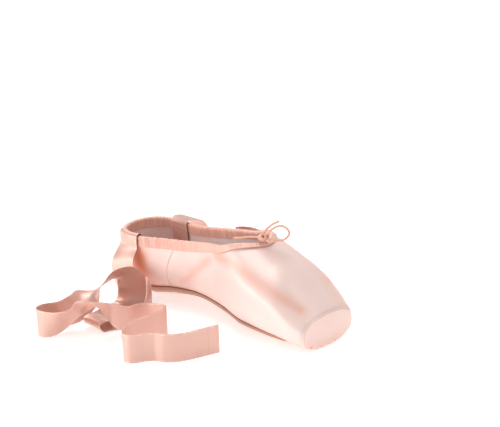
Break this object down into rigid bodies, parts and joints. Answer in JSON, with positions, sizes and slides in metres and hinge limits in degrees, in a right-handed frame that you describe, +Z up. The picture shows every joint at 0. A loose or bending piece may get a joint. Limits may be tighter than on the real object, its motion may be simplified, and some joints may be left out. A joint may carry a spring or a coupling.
{
  "type": "pointe shoe",
  "caption": "Satin pointe shoe: stiff toe box with an oval platform, soft heel, bound collar with a tied drawstring, leather sole and two sewn ribbons lying loose.",
  "frame": {"origin": "centre of the shoe's footprint on the ground, measured without the loose ribbons and the drawstring", "axes": "+X from heel to platform, +Y to the side of the far ribbon, +Z up"},
  "size_m": [0.2398, 0.2639, 0.0942],
  "materials": {
    "upper": "satin",
    "outsole": "matt",
    "insole": "matt",
    "collar_binding": "satin",
    "ribbon_near": "satin",
    "ribbon_far": "satin",
    "drawstring_knot": "matt",
    "drawstring_loop": "matt",
    "drawstring_end_near": "matt",
    "drawstring_end_far": "matt"
  },
  "bodies": {
    "root": {"upper": "upper", "outsole": "outsole", "insole": "insole", "collar_binding": "collar_binding", "ribbon_near": "ribbon_near", "ribbon_far": "ribbon_far", "drawstring_knot": "drawstring_knot", "drawstring_loop": "drawstring_loop", "drawstring_end_near": "drawstring_end_near", "drawstring_end_far": "drawstring_end_far"}
  },
  "joints": []
}
